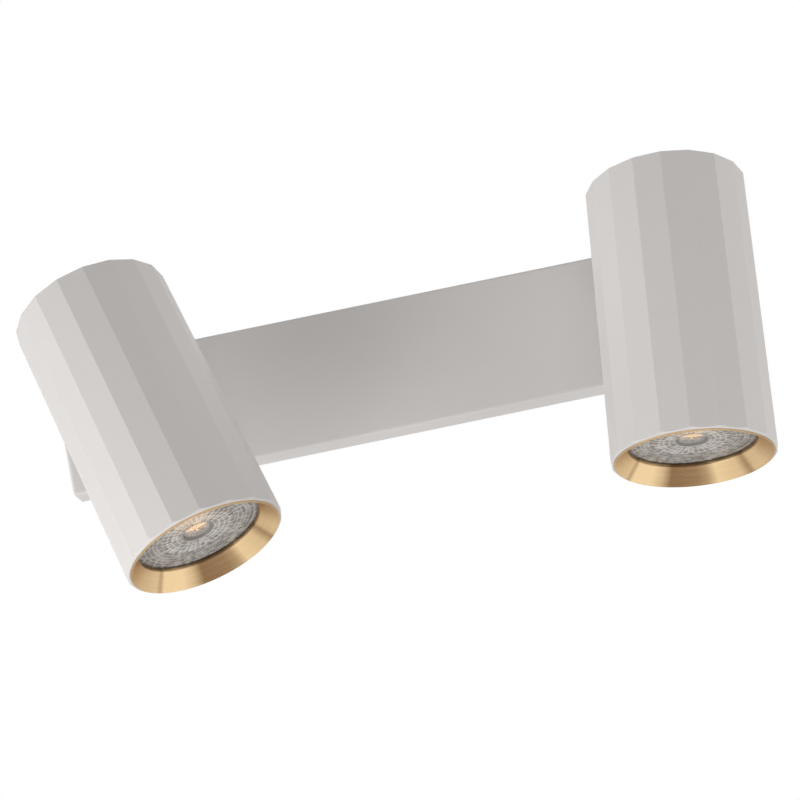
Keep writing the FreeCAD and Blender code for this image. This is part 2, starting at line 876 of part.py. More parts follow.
def make_lock_nut(side):
    """A thin hexagon nut on the spigot that clamps the stack."""
    body = new_body(f"{side}_lock_nut")
    outline = new_sketch(body, "outline", lift=stack_height(4))
    draw_polygon(outline, HEXAGON, hex_corner(size("lock_nut_across")), -180 / HEXAGON)
    draw_circle(outline, size("spigot_radius") + size("running_gap"))
    pad(body, outline, size("lock_nut_height"))
    body.Placement = swivel_place(side, 0)
    return body


def make_arm_leads(side):
    """Two leads up the arm's bore, turned out through its window towards the lamp."""
    pivot = float(size("canopy_depth") + size("pivot_height"))
    bore_end = pivot - float(size("tongue_start") + size("post_radius") / 3)
    window = bore_end - float(size("arm_bore_radius"))
    apart = float(size("lead_radius") + size("face_gap"))
    mouth = float(size("post_radius") - size("fit_gap"))
    routes = []
    for step in (1, -1):
        routes.append([
            Vector(0, step * apart, float(spigot_tip())),
            Vector(0, step * apart, window),
            Vector(mouth, step * apart, window),
        ])
    return make_leads(f"{side}_arm_leads", routes, swivel_place(side, 0))


# ---------------------------------------------------------------- head
def make_facet_tube(side):
    """The facetted tube: an 18-sided bar, bored from both ends, with the arm's slot and a turned mouth."""
    body = new_body(f"{side}_facet_tube")
    length, slot = size("head_length"), arm_slot_radius()
    outline = new_sketch(body, "outline")
    draw_polygon(outline, FACETS, size("facet_radius"), -180 / FACETS)
    pad(body, outline, length)
    shoulder = disc_depth() + size("disc_gauge")
    front = new_sketch(body, "front_bore")
    draw_circle(front, size("front_bore_radius"))
    pocket(body, front, shoulder)
    rear = new_sketch(body, "rear_bore")
    draw_circle(rear, size("rear_bore_radius"))
    pocket(body, rear, length)
    seat = new_sketch(body, "cap_seat", lift=length - size("cap_seat_depth"))
    draw_circle(seat, size("cap_seat_radius"))
    pocket(body, seat, size("cap_seat_depth"))
    slot_end = new_sketch(body, "slot_end", "YZ_Plane")
    draw_circle(slot_end, slot, (0, pivot_depth()))
    pocket(body, slot_end, size("facet_radius"))
    slot_run = new_sketch(body, "slot_run", "YZ_Plane")
    draw_box(slot_run, -slot, pivot_depth(), slot, length)
    pocket(body, slot_run, size("facet_radius"))
    bevel = size("mouth_bevel")
    mouth = new_sketch(body, "mouth", "XZ_Plane")
    outside = size("facet_radius") + bevel
    draw_outline(mouth, [(size("facet_radius") - bevel, 0), (outside, 0), (outside, 2 * bevel)])
    revolve(body, mouth, "PartDesign::Groove")
    body.Placement = head_place(side)
    return body


def arm_slot_radius():
    """Half the width of the slot that the arm's post swings in."""
    return size("post_radius") + 2 * size("fit_gap")


def make_rear_cap(side):
    """The rear lid in its seat, notched for the arm and countersunk for its two screws."""
    body = new_body(f"{side}_rear_cap")
    slot, pivot = arm_slot_radius(), size("pivot_offset")
    foot = size("head_length") - size("cap_seat_depth")
    outline = new_sketch(body, "outline", lift=foot)
    draw_circle(outline, size("cap_seat_radius") - size("face_gap"))
    pad(body, outline, size("cap_thickness"))
    notch_end = new_sketch(body, "notch_end", lift=foot)
    draw_circle(notch_end, slot, (pivot, 0))
    pocket(body, notch_end, size("cap_thickness"))
    notch = new_sketch(body, "notch", lift=foot)
    draw_box(notch, pivot, -slot, size("facet_radius"), slot)
    pocket(body, notch, size("cap_thickness"))
    sink = new_sketch(body, "countersink", "YZ_Plane", shift=size("cap_screw_place"))
    draw_outline(sink, countersunk_section(size("running_gap"), size("cap_thickness")))
    mirror(body, revolve(body, sink, "PartDesign::Groove"), "XZ_Plane")
    body.Placement = head_place(side)
    return body


def countersunk_section(gap, length):
    """Half of a countersunk screw's section, or of its hole: its head is level with the rear lid."""
    top = size("head_length") - size("cap_seat_depth") + size("cap_thickness")
    shank, head = size("small_screw_radius") + gap, size("small_head_radius") + gap
    return [(0, top - length), (shank, top - length), (shank, top + shank - head), (head, top), (0, top)]


def make_cap_screws(side):
    """Two long countersunk screws that draw the rear lid and the inner bracket against the tube."""
    body = new_body(f"{side}_cap_screws")
    top = size("head_length") - size("cap_seat_depth") + size("cap_thickness")
    section = new_sketch(body, "section", "YZ_Plane", shift=size("cap_screw_place"))
    draw_outline(section, countersunk_section(0, top - disc_depth() + size("disc_gauge")))
    mirror(body, revolve(body, section), "XZ_Plane")
    body.Placement = head_place(side)
    return body


def make_inner_bracket(side):
    """A pressed steel disc across the bore, with two ears bent back to carry the tilt bolt."""
    body = new_body(f"{side}_inner_bracket")
    foot, gauge = disc_depth(), size("disc_gauge")
    disc = new_sketch(body, "disc", lift=foot)
    draw_circle(disc, size("front_bore_radius") - size("face_gap"))
    draw_circle(disc, size("lead_hole_radius"))
    for sign in SIDES.values():
        draw_circle(
            disc,
            size("small_screw_radius") + size("running_gap"),
            (sign * size("holder_screw_place"), 0),
        )
        draw_circle(
            disc,
            size("small_screw_radius") + size("running_gap"),
            (0, sign * size("cap_screw_place")),
        )
    pad(body, disc, gauge)
    knuckle, pivot = size("knuckle_radius"), size("pivot_offset")
    inner = ear_inside()
    outer = inner + size("ear_gauge")
    ears = new_sketch(body, "ears", lift=foot)
    for low, high in ((inner, outer), (-outer, -inner)):
        draw_box(ears, pivot - knuckle, low, pivot + knuckle, high)
    pad(body, ears, pivot_depth() - foot)
    for sign, plane_lift in ((1, -outer), (-1, inner)):
        eye = new_sketch(body, f"eye_{'a' if sign > 0 else 'b'}", "XZ_Plane", lift=plane_lift)
        draw_circle(eye, knuckle, (pivot, pivot_depth()))
        pad(body, eye, size("ear_gauge"))
    hole = new_sketch(body, "pivot_hole", "XZ_Plane")
    draw_circle(hole, size("large_screw_radius") + size("running_gap"), (pivot, pivot_depth()))
    pocket(body, hole, 2 * outer, both_ways=True)
    body.Placement = head_place(side)
    return body


def ear_inside():
    """Distance from the head's middle plane to the inner face of each ear."""
    return size("tongue_thickness") / 2 + size("face_gap") + size("tilt_washer_thickness")


def make_tilt_bolt(side):
    """The pan-head bolt through the ears and the arm's tongue."""
    outer = ear_inside() + size("ear_gauge")
    grip = 2 * outer + size("tilt_nut_height") + size("tilt_washer_thickness")
    body = turned(
        f"{side}_tilt_bolt",
        screw_section(
            size("large_screw_radius"),
            size("large_head_radius"),
            size("large_head_height"),
            grip,
        ),
    )
    body.Placement = pivot_place(side).multiply(Placement(Vector(0, 0, float(outer)), Rotation()))
    return body


def make_tilt_nut(side):
    """The nut with a nylon collar on the tilt bolt, which sets how stiffly the head tilts."""
    body = new_body(f"{side}_tilt_nut")
    outer = ear_inside() + size("ear_gauge")
    outline = new_sketch(body, "outline", lift=-outer - size("tilt_nut_height"))
    draw_polygon(outline, HEXAGON, hex_corner(size("tilt_nut_across")), -180 / HEXAGON)
    draw_circle(outline, size("large_screw_radius") + size("running_gap"))
    pad(body, outline, size("tilt_nut_height"))
    body.Placement = pivot_place(side)
    return body


def make_tilt_washers(side):
    """A nylon washer on each side of the tongue."""
    body = new_body(f"{side}_tilt_washers")
    washer = new_sketch(body, "washer", lift=size("tongue_thickness") / 2 + size("face_gap"))
    draw_circle(washer, size("knuckle_radius"))
    draw_circle(washer, size("large_screw_radius") + size("running_gap"))
    mirror(body, pad(body, washer, size("tilt_washer_thickness")), "XY_Plane")
    body.Placement = pivot_place(side)
    return body


def make_trim_ring(side):
    """A turned ring pushed into the mouth: a thin lip over the tube's edge and a cone down to the lens."""
    throat, body_radius = size("ring_throat_radius"), size("front_bore_radius") - size("face_gap")
    lip = size("ring_lip_radius")
    body = turned(
        f"{side}_trim_ring",
        [
            (throat, size("ring_cone_depth")),
            (size("ring_cone_radius"), -size("ring_lip_height")),
            (lip, size("ring_lip_height") / -2),
            (lip, 0),
            (body_radius, 0),
            (body_radius, size("ring_depth")),
            (throat, size("ring_depth")),
        ],
    )
    body.Placement = head_place(side)
    return body


def make_lamp_holder(side):
    """A ceramic twist-lock holder: two entries that run into a cavity behind a skin, and fixing holes."""
    body = new_body(f"{side}_lamp_holder")
    front = size("lamp_base_depth") + size("holder_gap")
    back = disc_depth()
    disc = new_sketch(body, "disc", lift=front)
    draw_circle(disc, size("holder_radius"))
    pad(body, disc, back - front)
    for sign, name in ((1, "upper"), (-1, "lower")):
        place = (0, sign * size("pin_spacing") / 2)
        throat = new_sketch(body, f"{name}_throat", lift=front)
        entry = 2 * size("pin_head_radius")
        ends = sorted([place, (sign * entry, place[1])], key=lambda end: float(as_size(end[0])))
        draw_slot(throat, ends[0], ends[1], size("pin_radius") + size("running_gap"))
        pocket(body, throat, size("holder_skin"))
        cavity = new_sketch(body, f"{name}_cavity", lift=front + size("holder_skin"))
        draw_slot(cavity, ends[0], ends[1], size("pin_head_radius") + size("face_gap"))
        pocket(body, cavity, size("pin_neck"))
        mouth = new_sketch(body, f"{name}_entry", lift=front)
        draw_circle(mouth, size("pin_head_radius") + size("face_gap"), (sign * entry, place[1]))
        pocket(body, mouth, size("holder_skin"))
    fixings = new_sketch(body, "fixings", lift=front)
    sinks = new_sketch(body, "sinks", lift=front)
    for sign in SIDES.values():
        place = (sign * size("holder_screw_place"), 0)
        draw_circle(fixings, size("small_screw_radius") + size("running_gap"), place)
        draw_circle(sinks, size("small_head_radius") + size("face_gap"), place)
    pocket(body, fixings, back - front)
    pocket(body, sinks, size("holder_skin"))
    body.Placement = head_place(side)
    return body


def make_holder_screws(side):
    """Two screws sunk in the holder's face that fix it to the inner bracket."""
    body = new_body(f"{side}_holder_screws")
    seat = size("lamp_base_depth") + size("holder_gap") + size("holder_skin")
    length = disc_depth() + size("disc_gauge") + size("fit_gap") - seat
    section = new_sketch(body, "section", "XZ_Plane", shift=size("holder_screw_place"))
    outline = screw_section(
        size("small_screw_radius"),
        size("small_head_radius"),
        size("small_head_height"),
        length,
    )
    draw_outline(section, [(across, seat - up) for across, up in outline])
    mirror(body, revolve(body, section), "YZ_Plane")
    body.Placement = head_place(side)
    return body


def make_lamp_body(side):
    """The lamp's shell: a rim around the lens, a bowl down to the chip and a stepped neck and base."""
    face, radius, base = size("lamp_face_depth"), size("lamp_radius"), size("lamp_base_depth")
    seat = lens_front() + size("lens_thickness")
    bowl, lens = size("lamp_bowl_depth"), size("lens_radius")
    neck, collar = size("lamp_base_radius"), size("lamp_collar_height")
    shoulder, step = size("lamp_shoulder"), size("lamp_collar_step")
    body = turned(
        f"{side}_lamp_body",
        [
            (lens + size("face_gap"), face),
            (radius, face),
            (radius, seat + shoulder / 4),
            (radius - shoulder / 2, seat + shoulder),
            (neck + 2 * step, base - collar),
            (neck + step, base - collar * 3 / 4),
            (neck + step, base - collar / 2),
            (neck, base - collar * 3 / 8),
            (neck, base - step / 2),
            (neck - step / 2, base),
            (0, base),
            (0, bowl),
            (2 * size("chip_radius"), bowl),
            (lens - size("lens_ledge"), seat),
            (lens + size("face_gap"), seat),
        ],
    )
    body.Placement = head_place(side)
    return body


def lens_front():
    """Depth of the lens's face behind the mouth; the lamp's rim stands a little proud of it."""
    return size("lamp_face_depth") + size("fit_gap")


def make_lamp_lens(side):
    """The moulded lens: a flat rim, a low inner ring, a dished centre and a collimator behind it."""
    front = lens_front()
    back = front + size("lens_thickness")
    radius, chip, ring_radius = size("lens_radius"), size("chip_radius"), size("lens_ring_radius")
    dish, land, step = size("lens_dish"), size("lens_land"), size("lens_step")
    end = size("lamp_bowl_depth") - size("collimator_room")
    body = turned(
        f"{side}_lamp_lens",
        [
            (0, front + dish),
            (chip, front + dish - step),
            (chip + land, front),
            (ring_radius, front - step),
            (ring_radius + land, front + step),
            (radius, front),
            (radius, back),
            (ring_radius, back),
            (chip + land + size("collimator_wall"), end),
            (chip + land, end),
            (chip - land, back + dish),
            (0, back + land),
        ],
    )
    body.Placement = head_place(side)
    return body


def make_led_chip(side):
    """The round yellow emitter on the floor of the bowl."""
    body = turned(
        f"{side}_led_chip",
        [
            (0, size("lamp_bowl_depth") - size("chip_thickness")),
            (size("chip_radius"), size("lamp_bowl_depth") - size("chip_thickness")),
            (size("chip_radius"), size("lamp_bowl_depth")),
            (0, size("lamp_bowl_depth")),
        ],
    )
    body.Placement = head_place(side)
    return body


def make_lamp_pins(side):
    """Two headed contact pins on the lamp's base."""
    body = new_body(f"{side}_lamp_pins")
    base = size("lamp_base_depth")
    section = new_sketch(body, "section", "YZ_Plane", shift=size("pin_spacing") / 2)
    head = base + size("pin_neck")
    draw_outline(
        section,
        [
            (0, base),
            (size("pin_radius"), base),
            (size("pin_radius"), head),
            (size("pin_head_radius"), head),
            (size("pin_head_radius"), head + size("pin_head")),
            (0, head + size("pin_head")),
        ],
    )
    mirror(body, revolve(body, section), "XZ_Plane")
    body.Placement = head_place(side)
    return body


def make_head_leads(side):
    """Two leads from the holder's back, laid along the inner bracket towards the arm."""
    start = float(disc_depth())
    over_disc = float(disc_depth() + size("disc_gauge") + size("lead_radius") + size("fit_gap"))
    apart = float(size("lead_radius") + size("face_gap"))
    routes = []
    for step in (1, -1):
        routes.append([
            Vector(1, step * apart, start),
            Vector(1, step * apart, over_disc),
            Vector(float(size("pivot_offset") + size("knuckle_radius")), step * apart, over_disc),
        ])
    return make_leads(f"{side}_head_leads", routes, head_place(side))


# ---------------------------------------------------------------- the whole light
def make_fixed_pieces():
    makers = [
        make_canopy,
        make_wall_bracket,
        make_canopy_screws,
        make_cable_grommet,
        make_terminal_block,
        make_terminal_screws,
        make_block_screws,
        make_earth_tag,
        make_earth_screw,
        make_stop_pins,
        make_earth_lead,
    ]
    return [make() for make in makers]


def make_side_pieces(side):
    makers = [
        make_supply_leads,
        make_outer_washer,
        make_swivel_arm,
        make_inner_washer,
        make_stop_washer,
        make_spring_washer,
        make_lock_nut,
        make_arm_leads,
        make_facet_tube,
        make_rear_cap,
        make_cap_screws,
        make_inner_bracket,
        make_tilt_bolt,
        make_tilt_nut,
        make_tilt_washers,
        make_trim_ring,
        make_lamp_holder,
        make_holder_screws,
        make_lamp_body,
        make_lamp_lens,
        make_led_chip,
        make_lamp_pins,
        make_head_leads,
    ]
    return [make(side) for make in makers]


pieces = make_fixed_pieces()
for side in SIDES:
    pieces += make_side_pieces(side)
doc.recompute()

failed = [item.Name for item in doc.Objects if "Invalid" in item.State or "Error" in item.State]
if failed:
    raise RuntimeError(f"these objects did not build: {failed}")
for piece in pieces:
    shape = piece.Shape
    if shape.isNull() or not shape.isValid() or not shape.Solids:
        raise RuntimeError(f"{piece.Label} is not a valid solid")

os.makedirs("parts", exist_ok=True)
for piece in pieces:
    piece.Shape.exportStep(f"parts/{piece.Label}.step")
print(f"{len(pieces)} pieces, {sum(len(piece.Shape.Solids) for piece in pieces)} solids")
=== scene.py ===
import math
import bmesh
import bpy
import numpy as np
from mathutils import Matrix, Vector


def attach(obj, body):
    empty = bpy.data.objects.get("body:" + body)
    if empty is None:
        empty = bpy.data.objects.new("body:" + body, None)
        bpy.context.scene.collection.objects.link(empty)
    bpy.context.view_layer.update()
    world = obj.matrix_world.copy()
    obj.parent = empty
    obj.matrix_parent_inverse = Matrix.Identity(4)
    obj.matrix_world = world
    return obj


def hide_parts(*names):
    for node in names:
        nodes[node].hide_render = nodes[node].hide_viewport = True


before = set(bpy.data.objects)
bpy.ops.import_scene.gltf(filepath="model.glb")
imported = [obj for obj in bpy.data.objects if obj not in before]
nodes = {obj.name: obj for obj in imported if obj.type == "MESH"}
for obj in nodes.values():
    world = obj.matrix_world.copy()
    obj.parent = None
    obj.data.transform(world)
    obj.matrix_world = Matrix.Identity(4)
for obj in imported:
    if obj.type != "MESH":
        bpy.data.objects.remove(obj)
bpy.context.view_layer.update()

# ---------------------------------------------------------------- canopy
# A folded steel pan, 278 by 53 mm and 15 mm deep, that covers the wall bracket and the terminals.
# Its corners are welded, and it is powder coated a warm satin off-white, as the heads are. A small
# socket screw, flush in each end, holds it on the bracket.
PAINT = (0.671, 0.642, 0.622)
PAINT_ROUGHNESS = 0.5
PAINT_REFLECTION = 0.35
NOISE_MIDDLE = 0.5
BROAD_SHARE = 0.04


def plug(tree, node, values):
    """Puts plain values or other nodes' sockets on a node's inputs."""
    for label, value in values.items():
        if isinstance(value, bpy.types.NodeSocket):
            tree.links.new(value, node.inputs[label])
        else:
            node.inputs[label].default_value = value


def add(tree, kind, values=None, **settings):
    """Adds one node to a tree, with its settings and the values on its inputs."""
    node = tree.nodes.new(kind)
    for name, value in settings.items():
        setattr(node, name, value)
    plug(tree, node, values or {})
    return node


def maths(tree, operation, *values, **settings):
    """The result of one math node on plain values or sockets."""
    node = add(tree, "ShaderNodeMath", dict(enumerate(values)), operation=operation, **settings)
    return node.outputs[0]


def effect_group(name, inputs, outputs):
    """An empty shader group with named sockets, its input sockets and its output node.
    An input of None takes a vector, a number a plain value and three numbers a colour."""
    tree = bpy.data.node_groups.new(name, "ShaderNodeTree")
    for label, value in inputs.items():
        kind = {type(None): "Vector", tuple: "Color"}.get(type(value), "Float")
        socket = tree.interface.new_socket(label, in_out="INPUT", socket_type=f"NodeSocket{kind}")
        if kind == "Color":
            socket.default_value = (*value, 1)
        elif kind == "Float":
            socket.default_value = value
    for label, kind in outputs.items():
        tree.interface.new_socket(label, in_out="OUTPUT", socket_type=f"NodeSocket{kind}")
    return tree, tree.nodes.new("NodeGroupInput").outputs, tree.nodes.new("NodeGroupOutput")


def grain_effect():
    """Surface grain: broad noise shifts the colour, and fine noise shifts the roughness and
    gives a height."""
    tree, given, out = effect_group(
        "surface_grain",
        {
            "Place": None,
            "Colour": (1, 1, 1),
            "Roughness": 0.5,
            "Grain Size": 0.001,
            "Tint": 0.05,
            "Rough Drift": 0.05,
        },
        {"Colour": "Color", "Roughness": "Float", "Height": "Float"},
    )
    scale = maths(tree, "DIVIDE", 1.0, given["Grain Size"])
    fine, broad = [
        add(
            tree, "ShaderNodeTexNoise", {"Vector": given["Place"], "Scale": size, "Detail": detail}
        ).outputs["Fac"]
        for size, detail in ((scale, 2.0), (maths(tree, "MULTIPLY", scale, BROAD_SHARE), 3.0))
    ]
    shade = maths(tree, "SUBTRACT", broad, NOISE_MIDDLE)
    shade = maths(tree, "MULTIPLY_ADD", shade, given["Tint"], 1.0)
    colour = add(
        tree, "ShaderNodeVectorMath", {0: given["Colour"], "Scale": shade}, operation="SCALE"
    )
    drift = maths(tree, "SUBTRACT", fine, NOISE_MIDDLE)
    rough = maths(tree, "MULTIPLY_ADD", drift, given["Rough Drift"], given["Roughness"])
    plug(tree, out, {"Colour": colour.outputs[0], "Roughness": rough, "Height": fine})
    return tree


GRAIN = grain_effect()


def new_finish(name):
    """A new material with its node tree and its shader."""
    material = bpy.data.materials.new(name)
    material.use_nodes = True
    tree = material.node_tree
    return material, tree, tree.nodes["Principled BSDF"]


def grained(
    name, colour, roughness, grain=0.001, tint=0.05, drift=0.05, relief=0.00002, **shader_values
):
    """A finish with grain: the group gives its colour, roughness and relief, in metres, and the
    shader's other values are named with _ for each space."""
    material, tree, shader = new_finish(name)
    effect = add(
        tree,
        "ShaderNodeGroup",
        {
            "Place": add(tree, "ShaderNodeTexCoord").outputs["Object"],
            "Colour": (*colour, 1),
            "Roughness": roughness,
            "Grain Size": grain,
            "Tint": tint,
            "Rough Drift": drift,
        },
        node_tree=GRAIN,
    ).outputs
    bump = add(
        tree, "ShaderNodeBump", {"Strength": 1.0, "Distance": relief, "Height": effect["Height"]}
    )
    plug(
        tree,
        shader,
        {
            "Base Color": effect["Colour"],
            "Roughness": effect["Roughness"],
            "Normal": bump.outputs["Normal"],
            **{label.replace("_", " "): value for label, value in shader_values.items()},
        },
    )
    return material


def dress(material, *names):
    """Puts one finish on CAD pieces."""
    for name in names:
        finishes = nodes[name].data.materials
        finishes.clear()
        finishes.append(material)


paint = grained(
    "satin_paint",
    PAINT,
    roughness=PAINT_ROUGHNESS,
    grain=0.0006,
    tint=0.02,
    drift=0.1,
    relief=0.000012,
    Specular_IOR_Level=PAINT_REFLECTION,
)
dress(paint, "canopy")

# ---------------------------------------------------------------- wall bracket, screws and nuts
# Zinc plated steel: the strap behind the canopy with its screws and stop pins, the swivels' stop
# washers, spring washers and nuts, and the bracket, bolt and screws inside each head.
ZINC = (0.52, 0.53, 0.55)
zinc = grained(
    "zinc_steel",
    ZINC,
    roughness=0.38,
    grain=0.0008,
    tint=0.12,
    drift=0.15,
    relief=0.000008,
    Metallic=1.0,
)


def both(*pieces):
    """The names of like pieces on the left and on the right."""
    return [f"{side}_{piece}" for side in ("left", "right") for piece in pieces]


dress(zinc, "wall_bracket", "canopy_screws", "block_screws", "earth_screw", "stop_pins")
dress(zinc, *both("stop_washer", "spring_washer", "lock_nut"))
dress(zinc, *both("cap_screws", "inner_bracket", "tilt_bolt", "tilt_nut", "holder_screws"))

# ---------------------------------------------------------------- terminals, grommet and washers
# The moulded terminal block, the brass clamp screws, earth tag and lamp pins, the rubber grommet
# round the supply cable's hole, and the nylon washers that let the arms and heads turn smoothly.
BLOCK = (0.80, 0.80, 0.74)
block = grained("block_plastic", BLOCK, roughness=0.45, grain=0.0005, tint=0.03)
dress(block, "terminal_block")
BRASS_FITTINGS = (0.62, 0.50, 0.28)
brass_fittings = grained(
    "brass_fittings", BRASS_FITTINGS, roughness=0.3, grain=0.0006, tint=0.1, Metallic=1.0
)
dress(brass_fittings, "terminal_screws", "earth_tag", *both("lamp_pins"))
RUBBER = (0.03, 0.03, 0.032)
rubber = grained(
    "grommet_rubber", RUBBER, roughness=0.7, grain=0.0004, tint=0.2, relief=0.00003
)
dress(rubber, "cable_grommet")
NYLON = (0.80, 0.80, 0.76)
nylon = grained("nylon", NYLON, roughness=0.42, grain=0.0005, tint=0.04)
dress(nylon, *both("outer_washer", "inner_washer", "tilt_washers"))

# ---------------------------------------------------------------- leads
# Silicone insulated flexes from the block through the arms to the lamp holders, and the green and
# yellow earth lead.
LEAD = (0.60, 0.58, 0.54)
lead = grained("lead_insulation", LEAD, roughness=0.55, grain=0.0006, tint=0.08)
dress(lead, "supply_leads_left", "supply_leads_right", *both("arm_leads", "head_leads"))
EARTH = (0.16, 0.34, 0.07)
earth = grained("earth_insulation", EARTH, roughness=0.5, grain=0.0006, tint=0.1)
dress(earth, "earth_lead")

# ---------------------------------------------------------------- swivel arms, tubes and rear caps
# Each head is an aluminium tube extruded with eighteen flat faces, closed by a disc at the rear and
# powder coated in one colour with the arm that carries it.
dress(paint, *both("swivel_arm", "facet_tube", "rear_cap"))

# ---------------------------------------------------------------- trim rings
# A brass ring in each mouth, turned on a lathe, brushed round its cone and lacquered. Its lip
# covers the tube's edge and its cone runs down to the lamp, so that only the lens shows.

# each arm's place along the canopy in metres, and its swing and its head's tilt in degrees at rest
SIDES = {"left": (-0.104, 15.3, 13.75), "right": (0.104, -8.8, 10.0)}
PIVOT_OUT = 0.055
PIVOT_DEPTH = 0.077
PIVOT_OFFSET = 0.012
ROUND = 360
MERGE = 1e-7


def head_place(side):
    """A head's own frame: the middle of its mouth, Z into the head, X towards the arm's slot.
    The beam is the swung direction in the wall's plane, leaned out of it by the tilt."""
    out_along, swing, tilt = SIDES[side]
    swing, tilt = math.radians(swing), math.radians(tilt)
    along, outwards = Vector((math.sin(swing), 0, -math.cos(swing))), Vector((0, -1, 0))
    beam = along * math.cos(tilt) + outwards * math.sin(tilt)
    slot = along * math.sin(tilt) - outwards * math.cos(tilt)
    mouth = Vector((out_along, -PIVOT_OUT, 0)) - slot * PIVOT_OFFSET + beam * PIVOT_DEPTH
    turn = Matrix((slot, slot.cross(beam), -beam)).transposed().to_4x4()
    return Matrix.Translation(mouth) @ turn


def surface(name, grids, rise, place, finishes, close_ends=False, smooth=True, finish_rows=0):
    """A closed skin from grids of points, in metres: rows run along the profile, columns round the
    axis. Each quad joins neighbours of both grids, the last column joins the first and, when the
    profile is a closed loop, the last row joins the first too; else its ends lie on the axis, where
    a row's points are merged into one. Its UV map holds the share of a turn and each row's rise."""
    across, up, depth = grids
    rows, columns = depth.shape
    points = np.stack([across, up, depth], axis=-1).reshape(-1, 3)
    turn = np.array(place)[:3, :3]
    points = points @ turn.T + np.array(place.translation)
    row = np.arange(rows if close_ends else rows - 1)[:, None]
    column = np.arange(columns)[None, :]
    next_row, next_column = (row + 1) % rows, (column + 1) % columns
    quads = np.stack(
        [
            row * columns + column,
            row * columns + next_column,
            next_row * columns + next_column,
            next_row * columns + column,
        ],
        axis=-1,
    ).reshape(-1, 4)
    finish_numbers = (finish_rows + 0 * row + 0 * column).ravel()
    mesh = bpy.data.meshes.new(name)
    mesh.vertices.add(len(points))
    mesh.vertices.foreach_set("co", points.astype(np.float32).ravel())
    mesh.loops.add(quads.size)
    mesh.loops.foreach_set("vertex_index", quads.ravel().astype(np.int32))
    mesh.polygons.add(len(quads))
    mesh.polygons.foreach_set("loop_start", np.arange(0, quads.size, 4, dtype=np.int32))
    mesh.polygons.foreach_set("loop_total", np.full(len(quads), 4, dtype=np.int32))
    mesh.polygons.foreach_set("use_smooth", np.full(len(quads), smooth))
    mesh.polygons.foreach_set("material_index", finish_numbers.astype(np.int32))
    u = np.stack([column, column + 1, column + 1, column], axis=-1) / columns + 0 * row[..., None]
    here, there = rise[row], rise[next_row]
    v = np.stack([here, here, there, there], axis=-1) + 0 * column[..., None]
    layer = mesh.uv_layers.new(name="round_and_along")
    layer.data.foreach_set("uv", np.stack([u, v], axis=-1).astype(np.float32).ravel())
    mesh.update()
    mesh.validate()
    skin = bmesh.new()
    skin.from_mesh(mesh)
    bmesh.ops.remove_doubles(skin, verts=skin.verts, dist=MERGE)
    bmesh.ops.recalc_face_normals(skin, faces=skin.faces)
    skin.to_mesh(mesh)
    skin.free()
    for finish in finishes:
        mesh.materials.append(finish)
    piece = bpy.data.objects.new(name, mesh)
    bpy.context.scene.collection.objects.link(piece)
    return piece


def turned_grid(profile):
    """Grids of a turned form: radius and depth pairs carried once round the axis."""
    radius, depth = np.array(profile)[:, 0][:, None], np.array(profile)[:, 1][:, None]
    angle = np.arange(ROUND)[None, :] * 2 * np.pi / ROUND
    return radius * np.cos(angle), radius * np.sin(angle), depth + 0 * angle


# radius and depth behind the mouth, in metres, from the throat out over the lip and back inside
RING_PROFILE = [
    (0.02400, 0.0064),
    (0.02390, 0.0069),
    (0.02325, 0.0069),
    (0.02325, 0.0056),
    (0.02330, 0.0054),
    (0.02345, 0.00522),
    (0.02800, -0.00018),
    (0.02818, -0.00041),
    (0.02829, -0.00053),
    (0.02841, -0.00056),
    (0.02860, -0.00045),
    (0.02874, -0.00030),
    (0.02878, -0.00020),
    (0.02878, -0.00002),
    (0.02830, -0.00002),
    (0.02830, 0.0064),
]
BRASS = (0.98, 0.73, 0.415)
# BRASS_DARK is the dark end of the colour: the painted shade of the painted reflection, and the
# dark of the brushing marks
BRASS_DARK = (0.30, 0.175, 0.085)
BRASS_ROUGHNESS = 0.3
# painted reflection: how bright the turned cone is painted round its circle, in degrees from the
# arm's slot, as light and dark fan-shaped bands standing in for what its cone mirrors
PAINTED_REFLECTION_FANS = [
    (0, 0.05),
    (14, 0.0),
    (22, 0.6),
    (32, 1.0),
    (50, 1.0),
    (54, 0.35),
    (58, 0.75),
    (75, 0.6),
    (100, 0.35),
    (180, 0.5),
    (250, 0.25),
    (275, 0.4),
    (292, 0.65),
    (302, 0.6),
    (307, 0.15),
    (316, 0.7),
    (336, 0.9),
    (344, 0.3),
    (352, 0.1),
]
# the brushed hairs: how many lie round and along the cone, and how far they change it
HAIRS = (6.0, 60.0, 1.0)
HAIR_SHADE = 0.3
HAIR_ROUGHNESS = 0.16
HAIR_RELIEF = 0.00001


def between(tree, share, dark, bright):
    """The colour at a share of the way from a dark colour to a bright one."""
    colours = {"Factor": share, 6: (*dark, 1), 7: (*bright, 1)}
    return add(tree, "ShaderNodeMix", colours, data_type="RGBA").outputs[2]


